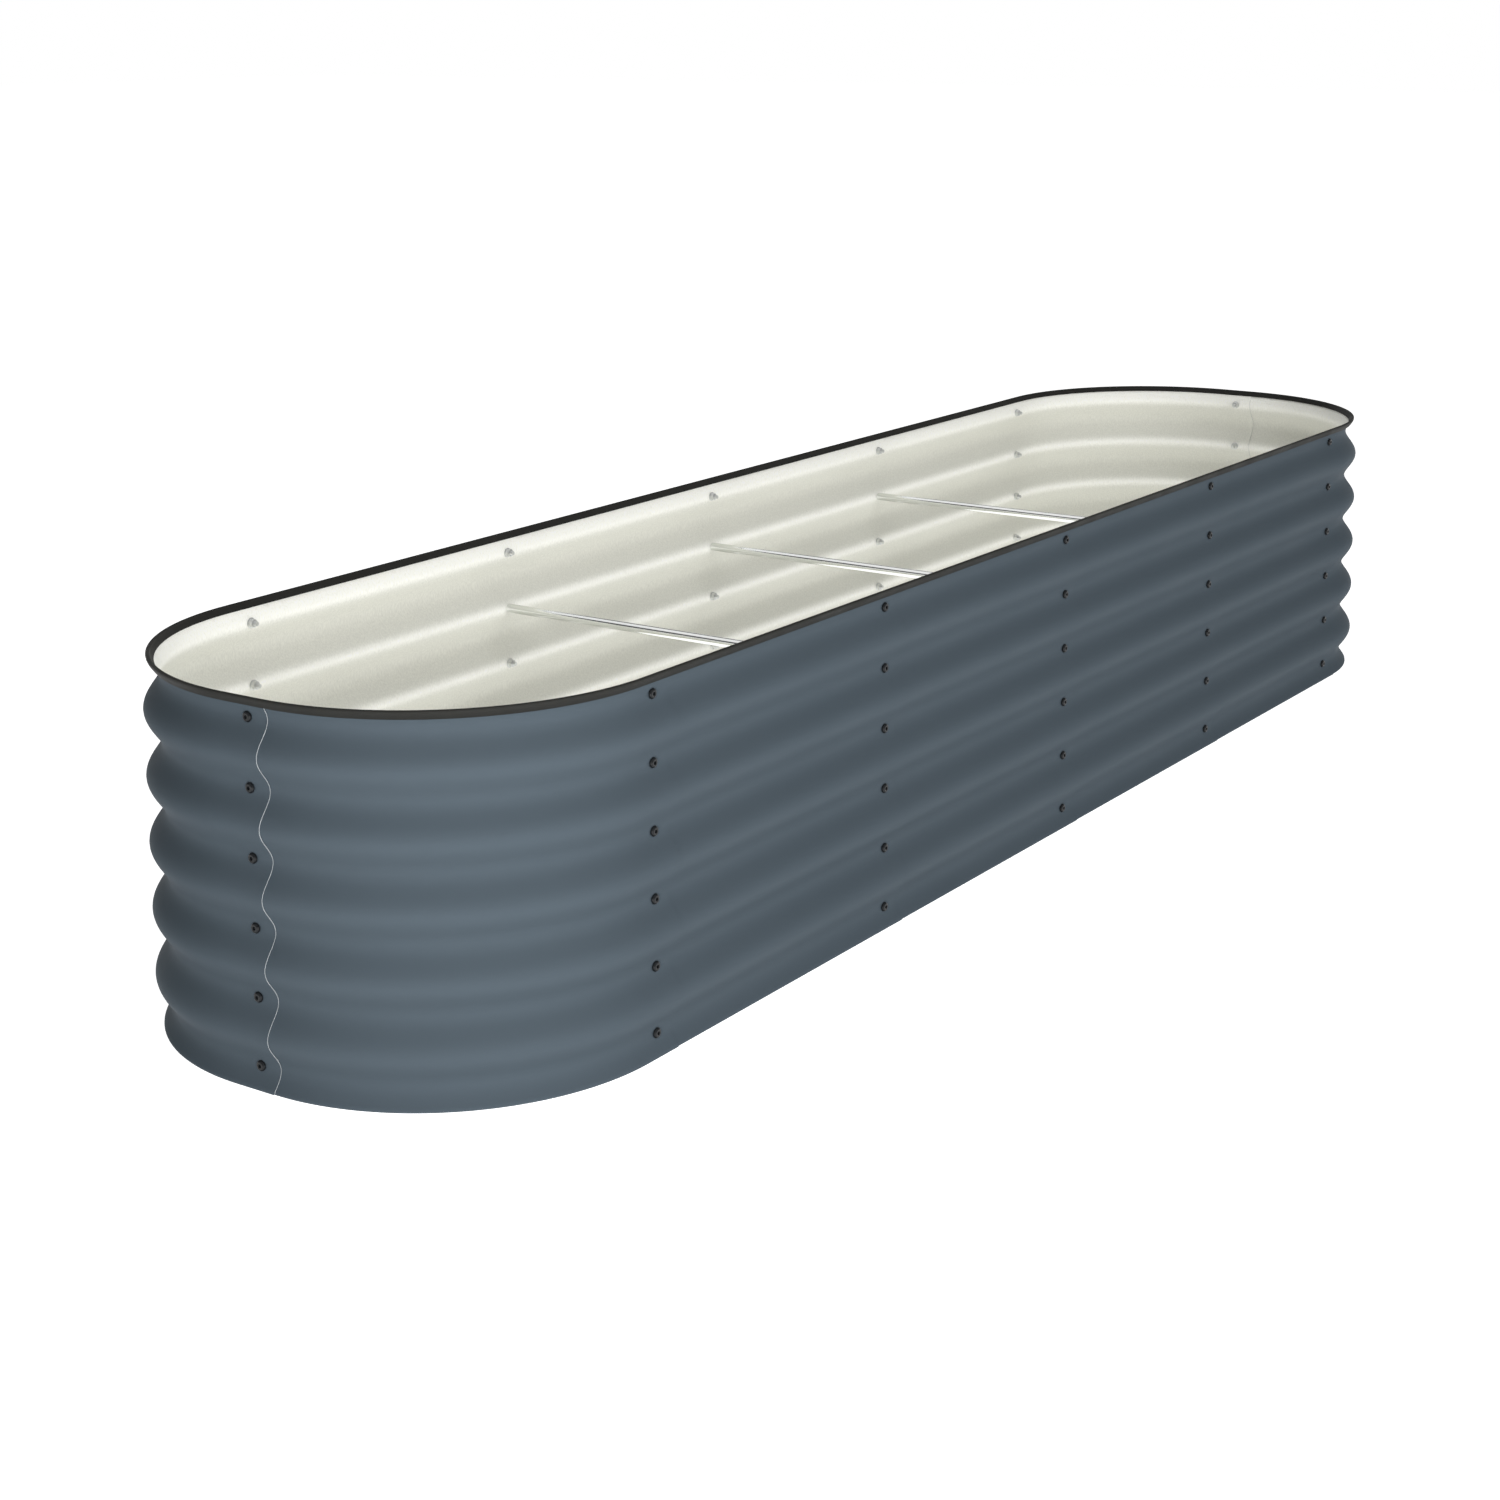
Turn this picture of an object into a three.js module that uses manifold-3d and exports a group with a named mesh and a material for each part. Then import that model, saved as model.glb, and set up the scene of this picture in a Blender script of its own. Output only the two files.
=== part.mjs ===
// A raised garden bed: an open ring of corrugated sheet steel with straight sides and round ends.
// Twelve panels lap at twelve columns of holes, where button-head bolts hold them. Three rods brace
// the long sides, and a rubber channel covers the top edge.
//
// Millimetres, +Z up. The origin is on the ground in the middle of the bed, and X runs along it.
// Seen from above, the panels go round anticlockwise, from the left end of the front side. Each one's
// far end lies outside the near end of the next.

import * as THREE from 'three';
import { mergeVertices } from 'three/addons/utils/BufferGeometryUtils.js';
import Module from 'manifold-3d';

const wasm = await Module();
wasm.setup();

// Plan
const COLUMN_SPACING = 474.8; // from one column of bolts to the next along a side
const SIDE_PANELS = 4; // straight panels in a long side
const HALF_WIDTH = 295.8; // from the middle of the bed to the middle of the wall, in a valley

// Corrugated sheet
const SHEET = 0.8; // thickness of the painted steel
const ROWS = 6; // bolts in a column, each in a valley of the wave
const WAVE_PITCH = 76.2; // valley to valley
const WAVE_DEPTH = 18; // valley to crest
const EDGE_RISE = 23.4; // from the first and last rows to the sheet's edges
const EDGE_CURVE = 3; // height over which the wave comes upright at an edge

// Laps between panels
const LAP = 27; // from the bolts to the end of a sheet
const LAP_FLAT_MARGIN = 1; // flat stretch between a lap and a bend
const LAP_GAP = 0.3; // between the two sheets

// Panel bolts and their flange nuts
const BOLT_DIAMETER = 6;
const HOLE_CLEARANCE = 0.5; // round a bolt, in the sheets
const HEAD_DIAMETER = 12;
const HEAD_HEIGHT = 3.3;
const HEAD_RIM = 1.2; // height of the head's upright rim
const HEAD_TOP_DIAMETER = 7;
const SOCKET_FLATS = 4; // across the flats of the hexagonal socket
const SOCKET_DEPTH = 2;
const PANEL_BOLT_LENGTH = 14; // under the head
const NUT_FLATS = 10;
const NUT_HEIGHT = 6;
const FLANGE_DIAMETER = 13;
const FLANGE_TOP_DIAMETER = 11.2;
const FLANGE_HEIGHT = 1.6;
const THREAD_CLEARANCE = 0.3; // round a bolt, in a nut or a rod
const SEAT_GAP = 0.3; // between a head, a nut or a rod and the sheet that it bears on

// Brace rods, held by one bolt at each end
const ROD_DIAMETER = 12;
const ROD_ROW = 2; // counted from the top
const BRACE_BOLT_LENGTH = 20;
const BORE_END_CLEARANCE = 2; // past the bolt's tip, in a rod

// Rubber channel on the top edge
const TRIM_HEIGHT = 9.5;
const TRIM_WALL = 1.2;
const TRIM_FIT = 0.3; // round the sheets, in the channel
const TRIM_CORNER = 1; // chamfer along the top corners
const TRIM_JOINT_GAP = 0.4; // where the strip's two ends meet
const TRIM_JOINT_X = 250; // on the back side

// Facets
const WAVE_FACETS = 8; // in one wave
const EDGE_FACETS = 2; // in an edge's curve
const BEND_FACETS = 6; // in a quarter bend
const FASTENER_SIDES = 8;
const ROD_SIDES = 12;

const LAP_FLAT = LAP + LAP_FLAT_MARGIN;
const BEND_RADIUS = HALF_WIDTH - LAP_FLAT;
const HALF_SIDE = (SIDE_PANELS * COLUMN_SPACING) / 2;
const TOP_ROW_HEIGHT = EDGE_RISE + (ROWS - 1) * WAVE_PITCH;
const SHEET_HEIGHT = TOP_ROW_HEIGHT + EDGE_RISE;
const LAP_SHIFT = (SHEET + LAP_GAP) / 2; // of each sheet from the wall's middle, at the bolts
const LAP_FACE = LAP_SHIFT + SHEET / 2; // of a lap from the wall's middle, at the bolts
const TRIM_TOP = SHEET_HEIGHT + TRIM_FIT + TRIM_WALL;

const rowHeight = (row) => TOP_ROW_HEIGHT - (row - 1) * WAVE_PITCH;

const paintedSteel = new THREE.MeshStandardMaterial({ color: 0x55636d, roughness: 0.45, metalness: 0.3 });
const polishedSteel = new THREE.MeshStandardMaterial({ color: 0xdcdedd, roughness: 0.15, metalness: 1 });
const zincPlate = new THREE.MeshStandardMaterial({ color: 0xb4b6b2, roughness: 0.35, metalness: 1 });
const blackOxide = new THREE.MeshStandardMaterial({ color: 0x1d1f21, roughness: 0.4, metalness: 0.8 });
const blackRubber = new THREE.MeshStandardMaterial({ color: 0x302e2d, roughness: 0.7, metalness: 0 });

// Lines and sweeps ---------------------------------------------------------------------------------

// The way out of an open line at each of its points, to the right of travel. At a bend it follows the
// mitre and is longer than 1, so that a line moved along it keeps its distance from both stretches.
function waysOut(line) {
  const sides = line.slice(1).map((point, i) => {
    const along = point.clone().sub(line[i]).normalize();
    return new THREE.Vector2(along.y, -along.x);
  });
  return line.map((_, i) => {
    const before = sides[Math.max(i - 1, 0)];
    const after = sides[Math.min(i, sides.length - 1)];
    return before.clone().add(after).divideScalar(1 + before.dot(after));
  });
}

// The lengths along a line at which its points lie.
function lengthsAlong(line) {
  const lengths = [0];
  line.slice(1).forEach((point, i) => lengths.push(lengths[i] + point.distanceTo(line[i])));
  return lengths;
}

// The solid that a closed section leaves along a line on the ground. sectionAt(i) gives the section
// at the line's point i, as (distance outward, height) points with the solid on their left.
function sweep(line, sectionAt) {
  const ways = waysOut(line);
  const rings = line.map((point, i) =>
    sectionAt(i).map(({ x: out, y: height }) => [
      point.x + ways[i].x * out,
      point.y + ways[i].y * out,
      height,
    ]),
  );
  const count = rings[0].length;
  const last = (rings.length - 1) * count;
  const faces = [];
  for (let ring = 0; ring < last; ring += count) {
    for (let i = 0; i < count; i += 1) {
      const next = (i + 1) % count;
      faces.push(ring + i, ring + count + next, ring + next);
      faces.push(ring + i, ring + count + i, ring + count + next);
    }
  }
  for (const [a, b, c] of THREE.ShapeUtils.triangulateShape(sectionAt(0), [])) faces.push(a, b, c);
  for (const [a, b, c] of THREE.ShapeUtils.triangulateShape(sectionAt(line.length - 1), [])) {
    faces.push(last + a, last + c, last + b);
  }
  const geometry = new THREE.BufferGeometry();
  geometry.setAttribute('position', new THREE.Float32BufferAttribute(rings.flat(2), 3));
  geometry.setIndex(faces);
  return geometry;
}

// The wall's wave ----------------------------------------------------------------------------------

// How far the wall's middle stands out from its valleys, at a distance above or below a row. It is a
// cosine, stretched so that the facets across a valley and along a crest lie at their true distances.
function waveOut(distance) {
  const turn = (2 * Math.PI * distance) / WAVE_PITCH;
  return (WAVE_DEPTH / 2) * (1 - THREE.MathUtils.clamp(Math.cos(turn) / Math.cos(Math.PI / WAVE_FACETS), -1, 1));
}

// The stretch from an end row to the sheet's edge, as (distance outward, distance from the row)
// points. The wave runs on, and then its slope fades evenly until the edge stands upright.
function edgeStretch() {
  const facet = WAVE_PITCH / WAVE_FACETS;
  const start = EDGE_RISE - EDGE_CURVE;
  const points = [];
  for (let rise = facet / 2; rise < start - facet / 2; rise += facet) {
    points.push(new THREE.Vector2(waveOut(rise), rise));
  }
  const slope = (waveOut(start + 0.01) - waveOut(start - 0.01)) / 0.02;
  for (let step = 0; step <= EDGE_FACETS; step += 1) {
    const rise = (EDGE_CURVE * step) / EDGE_FACETS;
    const out = waveOut(start) + slope * rise * (1 - rise / (2 * EDGE_CURVE));
    points.push(new THREE.Vector2(out, start + rise));
  }
  return points;
}

// The middle of the sheet from its lower edge to its upper one, as (distance outward, height).
function sheetProfile() {
  const edge = edgeStretch();
  const facet = WAVE_PITCH / WAVE_FACETS;
  const points = edge.map(({ x, y }) => new THREE.Vector2(x, rowHeight(ROWS) - y)).reverse();
  for (let facets = 0; facets < (ROWS - 1) * WAVE_FACETS; facets += 1) {
    const rise = (facets + 0.5) * facet;
    points.push(new THREE.Vector2(waveOut(rise), rowHeight(ROWS) + rise));
  }
  edge.forEach(({ x, y }) => points.push(new THREE.Vector2(x, rowHeight(1) + y)));
  return points;
}

// Where a profile stands at a height. Past its ends, its end stretches run on.
function outAt(profile, height) {
  const found = profile.findIndex(({ y }) => y >= height);
  const upper = found < 0 ? profile.length - 1 : Math.max(found, 1);
  const a = profile[upper - 1];
  const b = profile[upper];
  return a.x + ((b.x - a.x) * (height - a.y)) / (b.y - a.y);
}

// The part of a profile between two heights.
function between(profile, low, high) {
  return [
    new THREE.Vector2(outAt(profile, low), low),
    ...profile.filter(({ y }) => y > low && y < high),
    new THREE.Vector2(outAt(profile, high), high),
  ];
}

// A profile moved outward, square to itself, with its two ends kept at their heights.
function moved(profile, distance) {
  const ways = waysOut(profile);
  for (const end of [ways[0], ways[ways.length - 1]]) end.set(end.x + (end.y * end.y) / end.x, 0);
  return profile.map((point, i) => point.clone().addScaledVector(ways[i], distance));
}

// The wall's plan ----------------------------------------------------------------------------------

// A point so far on from another, along a heading.
function onward(point, heading, length) {
  return new THREE.Vector2(point.x + length * Math.cos(heading), point.y + length * Math.sin(heading));
}

// A quarter turn to the left from a point, as the ends of its facets.
function quarterBend(start, heading) {
  const centre = onward(start, heading + Math.PI / 2, BEND_RADIUS);
  return Array.from({ length: BEND_FACETS + 1 }, (_, i) =>
    onward(centre, heading - Math.PI / 2 + (Math.PI / 2) * (i / BEND_FACETS), BEND_RADIUS),
  );
}

// The bolt columns in order: along the front, the right end, back along the back, and the left end.
function boltColumns() {
  const along = (y, heading) =>
    Array.from({ length: SIDE_PANELS + 1 }, (_, i) => ({
      place: new THREE.Vector2(Math.cos(heading) * (i * COLUMN_SPACING - HALF_SIDE), y),
      heading,
    }));
  const end = HALF_SIDE + HALF_WIDTH;
  return [
    ...along(-HALF_WIDTH, 0),
    { place: new THREE.Vector2(end, 0), heading: Math.PI / 2 },
    ...along(HALF_WIDTH, Math.PI),
    { place: new THREE.Vector2(-end, 0), heading: -Math.PI / 2 },
  ];
}

const columns = boltColumns();
const isSide = (column) => Math.abs(column.place.y) === HALF_WIDTH;
const isBraced = (column) => isSide(column) && Math.abs(column.place.x) < HALF_SIDE;

// The line of the panel that runs from one column to the next, with its laps.
function panelLine(from, to) {
  const first = onward(from.place, from.heading, -LAP);
  const last = onward(to.place, to.heading, LAP);
  if (isSide(from) && isSide(to)) return [first, last];
  return [first, ...quarterBend(onward(from.place, from.heading, LAP_FLAT), from.heading), last];
}

// Pieces -------------------------------------------------------------------------------------------

// A closed geometry as a solid for cutting, and back.
function toSolid(geometry) {
  const bare = new THREE.BufferGeometry();
  bare.setAttribute('position', geometry.getAttribute('position'));
  bare.setIndex(geometry.getIndex());
  const merged = mergeVertices(bare);
  return new wasm.Manifold(
    new wasm.Mesh({
      numProp: 3,
      vertProperties: merged.getAttribute('position').array,
      triVerts: new Uint32Array(merged.getIndex().array),
    }),
  );
}

function toGeometry(solid) {
  const mesh = solid.getMesh();
  const geometry = new THREE.BufferGeometry();
  geometry.setAttribute('position', new THREE.BufferAttribute(mesh.vertProperties, 3));
  geometry.setIndex(new THREE.BufferAttribute(mesh.triVerts, 1));
  const faceted = geometry.toNonIndexed();
  faceted.computeVertexNormals();
  return faceted;
}

// A round or polygonal bar along +X, between two places on it. Its first corner points up.
function bar(radius, from, to, sides, endRadius = radius) {
  return new THREE.CylinderGeometry(endRadius, radius, to - from, sides)
    .translate(0, (from + to) / 2, 0)
    .rotateZ(-Math.PI / 2)
    .rotateX(Math.PI / 2);
}

const hexagonRadius = (flats) => flats / Math.sqrt(3);

// A piece in a bolt column's own frame: +X outward from the wall's middle, on the bolts' line.
function atColumn(geometry, column, out, row) {
  const outward = column.heading - Math.PI / 2;
  return geometry
    .clone()
    .translate(out, 0, rowHeight(row))
    .rotateZ(outward)
    .translate(column.place.x, column.place.y, 0);
}

// One sheet, with its two columns of holes. From its near end to its far one it moves steadily from
// the inside of the wall's middle to the outside, so that it passes under one neighbour and over the
// other.
function panelGeometry(from, to) {
  const line = panelLine(from, to);
  const lengths = lengthsAlong(line);
  const span = lengths[lengths.length - 1] - 2 * LAP;
  const profile = sheetProfile();
  const sectionAt = (i) => {
    const shift = LAP_SHIFT * ((2 * (lengths[i] - LAP)) / span - 1);
    return [...moved(profile, shift + SHEET / 2), ...moved(profile, shift - SHEET / 2).reverse()];
  };
  const reach = 2 * LAP_FACE;
  const hole = bar(BOLT_DIAMETER / 2 + HOLE_CLEARANCE, -reach, reach, FASTENER_SIDES);
  let sheet = toSolid(sweep(line, sectionAt));
  for (const column of [from, to]) {
    for (let row = 1; row <= ROWS; row += 1) sheet = sheet.subtract(toSolid(atColumn(hole, column, 0, row)));
  }
  return toGeometry(sheet);
}

// A button-head bolt along X, with the underside of its head at 0 and its shank inward.
function boltGeometry(length) {
  const profile = [
    [0, -length],
    [BOLT_DIAMETER / 2, -length],
    [BOLT_DIAMETER / 2, 0],
    [HEAD_DIAMETER / 2, 0],
    [HEAD_DIAMETER / 2, HEAD_RIM],
    [HEAD_TOP_DIAMETER / 2, HEAD_HEIGHT],
    [0, HEAD_HEIGHT],
  ].map(([radius, out]) => new THREE.Vector2(radius, out));
  const body = new THREE.LatheGeometry(profile, FASTENER_SIDES).rotateZ(-Math.PI / 2).rotateX(Math.PI / 2);
  const socket = bar(hexagonRadius(SOCKET_FLATS), HEAD_HEIGHT - SOCKET_DEPTH, HEAD_HEIGHT + 1, 6);
  return toGeometry(toSolid(body).subtract(toSolid(socket)));
}

// A hexagon nut with a flange, bearing on the wall at 0 and standing inward.
function nutGeometry() {
  const hexagon = bar(hexagonRadius(NUT_FLATS), -NUT_HEIGHT, 0, 6);
  const flange = bar(FLANGE_TOP_DIAMETER / 2, -FLANGE_HEIGHT, 0, FASTENER_SIDES, FLANGE_DIAMETER / 2);
  const bore = bar(BOLT_DIAMETER / 2 + THREAD_CLEARANCE, -NUT_HEIGHT - 1, 1, FASTENER_SIDES);
  return toGeometry(toSolid(hexagon).add(toSolid(flange)).subtract(toSolid(bore)));
}

// The shape of the lapped sheets' two faces decides where what bears on them sits.
const outerFace = moved(sheetProfile(), LAP_FACE);
const headSeat = outAt(outerFace, rowHeight(ROD_ROW) + HEAD_DIAMETER / 2) + SEAT_GAP;
const innerSeat = -LAP_FACE - SEAT_GAP;

// A rod across the bed, along X here, with a blind threaded bore in each end for its bolt.
function rodGeometry() {
  const end = HALF_WIDTH + innerSeat;
  const boreEnd = HALF_WIDTH + headSeat - BRACE_BOLT_LENGTH - BORE_END_CLEARANCE;
  const boreRadius = BOLT_DIAMETER / 2 + THREAD_CLEARANCE;
  const rod = toSolid(bar(ROD_DIAMETER / 2, -end, end, ROD_SIDES));
  return toGeometry(
    rod
      .subtract(toSolid(bar(boreRadius, boreEnd, end + 1, FASTENER_SIDES)))
      .subtract(toSolid(bar(boreRadius, -end - 1, -boreEnd, FASTENER_SIDES))),
  );
}

// The rubber channel: one strip all round the top edge, from its joint on the back side.
function trimGeometry() {
  const joint = (gap) => new THREE.Vector2(TRIM_JOINT_X + gap, HALF_WIDTH);
  const bends = columns
    .filter((from, i) => isSide(from) !== isSide(columns[(i + 1) % columns.length]))
    .map((from) => quarterBend(onward(from.place, from.heading, LAP_FLAT), from.heading));
  const [frontRight, backRight, backLeft, frontLeft] = bends;
  const line = [
    joint(-TRIM_JOINT_GAP / 2),
    ...backLeft,
    ...frontLeft,
    ...frontRight,
    ...backRight,
    joint(TRIM_JOINT_GAP / 2),
  ];
  const deepestLap = LAP_SHIFT * (1 + (2 * LAP) / COLUMN_SPACING) + SHEET / 2;
  const slot = deepestLap + TRIM_FIT;
  const low = TRIM_TOP - TRIM_HEIGHT;
  const slotLine = between(sheetProfile(), low, TRIM_TOP - TRIM_WALL);
  const skinLine = between(sheetProfile(), low, TRIM_TOP);
  const skin = (side) => {
    const face = moved(skinLine, side * (slot + TRIM_WALL));
    const corner = face.pop();
    return [
      ...face,
      new THREE.Vector2(corner.x, corner.y - TRIM_CORNER),
      new THREE.Vector2(corner.x - side * TRIM_CORNER, corner.y),
    ];
  };
  const section = [
    ...skin(1),
    ...skin(-1).reverse(),
    ...moved(slotLine, -slot),
    ...moved(slotLine, slot).reverse(),
  ];
  return sweep(line, () => section);
}

// Assembly -----------------------------------------------------------------------------------------

const bed = new THREE.Group();

function addPiece(name, geometry, material, parent = bed) {
  const mesh = new THREE.Mesh(geometry, material);
  mesh.name = name;
  parent.add(mesh);
  return mesh;
}

// A group at each bolt column, in which +X points outward. Fasteners stand in it by row.
const columnGroups = columns.map(({ place, heading }) => {
  const group = new THREE.Group();
  group.position.set(place.x, place.y, 0);
  group.rotation.z = heading - Math.PI / 2;
  bed.add(group);
  return group;
});

const numbered = (stem, count) => Array.from({ length: count }, (_, i) => `${stem}_${i + 1}`);

const panelNames = [
  ...numbered('side_panel_front', SIDE_PANELS),
  'corner_panel_front_right',
  'corner_panel_back_right',
  ...numbered('side_panel_back', SIDE_PANELS),
  'corner_panel_back_left',
  'corner_panel_front_left',
];
columns.forEach((from, i) => {
  addPiece(panelNames[i], panelGeometry(from, columns[(i + 1) % columns.length]), paintedSteel);
});

// Bolts and nuts at the top row of every column, and at the bottom row of those that carry no rod.
const panelBolt = boltGeometry(PANEL_BOLT_LENGTH);
const braceBolt = boltGeometry(BRACE_BOLT_LENGTH);
const flangeNut = nutGeometry();
const rodSpan = rodGeometry();

function addBoltAndNut(rowName, number, group, row) {
  addPiece(`${rowName}_bolt_${number}`, panelBolt, blackOxide, group).position.set(headSeat, 0, rowHeight(row));
  addPiece(`${rowName}_nut_${number}`, flangeNut, zincPlate, group).position.set(innerSeat, 0, rowHeight(row));
}

columnGroups.forEach((group, i) => addBoltAndNut('top', i + 1, group, 1));
columnGroups
  .filter((_, i) => !isBraced(columns[i]))
  .forEach((group, i) => addBoltAndNut('bottom', i + 1, group, ROWS));

columns.forEach((column, i) => {
  if (!isBraced(column)) return;
  const number = Math.round((column.place.x + HALF_SIDE) / COLUMN_SPACING);
  const side = column.heading === 0 ? 'front' : 'back';
  const height = rowHeight(ROD_ROW);
  addPiece(`brace_bolt_${side}_${number}`, braceBolt, blackOxide, columnGroups[i]).position.set(headSeat, 0, height);
  if (side === 'back') return;
  const rod = addPiece(`brace_rod_${number}`, rodSpan, polishedSteel);
  rod.position.set(column.place.x, 0, height);
  rod.rotation.z = Math.PI / 2;
});

addPiece('edge_trim', trimGeometry(), blackRubber);

export default bed;
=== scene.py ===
"""The finished look of a raised garden bed.

Corrugated sheet-steel panels, painted slate outside and cream inside, are bolted into an open ring with
round ends. Three polished rods brace the long sides, and a rubber channel covers the top edge. Lengths are
in metres, +Z is up, and X runs along the bed. Each piece is a surface worked out with numpy from the sizes
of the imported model.
"""

import math
from dataclasses import dataclass

import bpy
import numpy as np
from bpy.props import FloatProperty, FloatVectorProperty, IntProperty, PointerProperty
from bpy.types import Operator, Panel, PropertyGroup
from mathutils import Matrix, Vector


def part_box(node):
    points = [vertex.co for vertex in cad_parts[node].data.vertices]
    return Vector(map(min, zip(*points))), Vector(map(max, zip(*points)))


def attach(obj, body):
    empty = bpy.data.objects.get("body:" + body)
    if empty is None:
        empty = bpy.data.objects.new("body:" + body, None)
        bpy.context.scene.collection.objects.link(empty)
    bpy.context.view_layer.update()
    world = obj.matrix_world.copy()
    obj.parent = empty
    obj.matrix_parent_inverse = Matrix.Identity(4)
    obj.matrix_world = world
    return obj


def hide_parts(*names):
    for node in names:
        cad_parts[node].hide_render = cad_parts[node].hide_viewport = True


bl_info = {
    "name": "Raised Garden Bed",
    "version": (1, 0, 0),
    "blender": (4, 5, 0),
    "location": "View3D > Sidebar > Garden Bed",
    "description": "Builds a corrugated steel garden bed with its bolts, nuts, rods and edge trim",
    "category": "Add Mesh",
}

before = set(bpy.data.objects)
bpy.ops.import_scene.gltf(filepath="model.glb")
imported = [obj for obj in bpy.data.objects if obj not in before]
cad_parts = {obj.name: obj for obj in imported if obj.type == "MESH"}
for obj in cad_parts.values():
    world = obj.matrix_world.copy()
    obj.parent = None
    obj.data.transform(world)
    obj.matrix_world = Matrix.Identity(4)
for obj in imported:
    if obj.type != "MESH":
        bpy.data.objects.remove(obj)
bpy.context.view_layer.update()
BODY = "root"
MM = 0.001

# The frame ------------------------------------------------------------------------------------------------

SIDE_PANELS = 4  # straight panels in a long side
ROWS = 6  # bolts in a column, counted from the top
ROD_ROW = 2
SHEET_THICKNESS = 0.8 * MM
LAP_GAP = 0.3 * MM  # between two lapped sheets
SEAT_GAP = 0.3 * MM  # between a fastener and the sheet that it bears on
QUARTER = math.pi / 2


def middle_of(node):
    """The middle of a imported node's box."""
    low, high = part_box(node)
    return (low + high) / 2


def size_of(node):
    """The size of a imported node's box."""
    low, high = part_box(node)
    return high - low


TOP_ROW = middle_of("top_bolt_1").z
BOTTOM_ROW = middle_of("bottom_bolt_1").z
WAVE_PITCH = (TOP_ROW - BOTTOM_ROW) / (ROWS - 1)
ROW_HEIGHTS = TOP_ROW - WAVE_PITCH * np.arange(ROWS)
SHEET_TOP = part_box("side_panel_front_1")[1].z
HALF_SIDE = middle_of("top_bolt_5").x
COLUMN_SPACING = 2 * HALF_SIDE / SIDE_PANELS
NUT_SEAT = SHEET_THICKNESS + LAP_GAP / 2 + SEAT_GAP  # inward of the wall's middle
HALF_WIDTH = NUT_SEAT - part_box("top_nut_1")[0].y  # to the wall's middle, in a valley
HEAD_TOP = -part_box("top_bolt_1")[0].y - HALF_WIDTH  # outward of the wall's middle
PANEL_BOLT = size_of("top_bolt_1").y  # over all
BRACE_BOLT = size_of("brace_bolt_front_1").y
ROD_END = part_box("brace_rod_1")[1].y
ROD_DIAMETER = size_of("brace_rod_1").x
TRIM_HEIGHT = size_of("edge_trim").z
TRIM_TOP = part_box("edge_trim")[1].z
TRIM_JOINT_X = 250 * MM  # where the strip's ends meet, on the back side
TRIM_JOINT_GAP = 0.4 * MM


# Settings -------------------------------------------------------------------------------------------------


def length(name, description, default):
    """A length that a user may change."""
    return FloatProperty(
        name=name, description=description, default=default, min=0, unit="LENGTH", precision=4
    )


def power(name, description, default):
    """The power of a lamp."""
    return FloatProperty(name=name, description=description, default=default, min=0, unit="POWER")


def brightness(name, description, default):
    """A strength of light, where 1 is white."""
    return FloatProperty(name=name, description=description, default=default, min=0)


def colour(name, description, default):
    """A colour, written as it looks on a screen and kept as the linear light that shaders read."""
    return FloatVectorProperty(
        name=name, description=description, default=seen(default), size=3, min=0, max=1, subtype="COLOR"
    )


def seen(rgb):
    """Linear light for a colour given as 0 to 255 on a screen: as a share of 255, it is divided by 12.92 up
    to 0.04045, and above that it is (share + 0.055) / 1.055 to the power of 2.4."""
    share = np.array(rgb) / 255
    linear = np.where(share <= 0.04045, share / 12.92, ((share + 0.055) / 1.055) ** 2.4)
    return tuple(float(part) for part in linear)


class SheetSettings(PropertyGroup):
    """Sizes of the corrugated sheet."""

    thickness: length("Thickness", "Thickness of the painted steel", SHEET_THICKNESS)
    wave_depth: length("Wave depth", "From a valley of the wave to its crest", 18 * MM)
    edge_curve: length("Edge curve", "Height over which the wave comes upright at an edge", 3 * MM)
    lap: length("Lap", "From a column of bolts to the end of the sheet", 27 * MM)
    lap_margin: length("Lap margin", "Flat stretch between a lap and a bend", 1 * MM)
    hole: length("Hole", "Diameter of the bolt holes", 7 * MM)
    wave_steps: IntProperty(name="Wave steps", description="Faces up one wave", default=24, min=8)
    bend_steps: IntProperty(name="Bend steps", description="Faces round a quarter bend", default=48, min=6)


class FastenerSettings(PropertyGroup):
    """Sizes of the bolts and nuts."""

    thread: length("Thread", "Outer diameter of the thread", 6 * MM)
    thread_pitch: length("Thread pitch", "From one turn of the thread to the next", 1 * MM)
    thread_depth: length("Thread depth", "From the thread's crest to its root", 0.5 * MM)
    head: length("Head", "Diameter of the button head", 12 * MM)
    head_height: length("Head height", "Height of the button head", 3.3 * MM)
    head_rim: length("Head rim", "Height of the head's upright rim", 1.2 * MM)
    head_flat: length("Head flat", "Diameter of the flat round the socket", 7 * MM)
    socket: length("Socket", "Across the flats of the hexagon socket", 4 * MM)
    socket_depth: length("Socket depth", "Depth of the socket", 2 * MM)
    nut: length("Nut", "Across the flats of the nut", 10 * MM)
    nut_height: length("Nut height", "Height of the nut with its flange", 6 * MM)
    flange: length("Flange", "Diameter of the nut's flange", 13 * MM)
    flange_height: length("Flange height", "Height of the flange at the flats", 1.6 * MM)
    sides: IntProperty(name="Sides", description="Faces round a fastener", default=24, min=12)


class TrimSettings(PropertyGroup):
    """Sizes of the rubber channel."""

    wall: length("Wall", "Thickness of the rubber", 1.2 * MM)
    slot: length("Slot", "Inside width of the channel", 2.62 * MM)
    corner: length("Corner", "Radius of the top corners, to the middle of the rubber", 1.3 * MM)
    bend_steps: IntProperty(name="Bend steps", description="Faces round a quarter bend", default=36, min=6)


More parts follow.
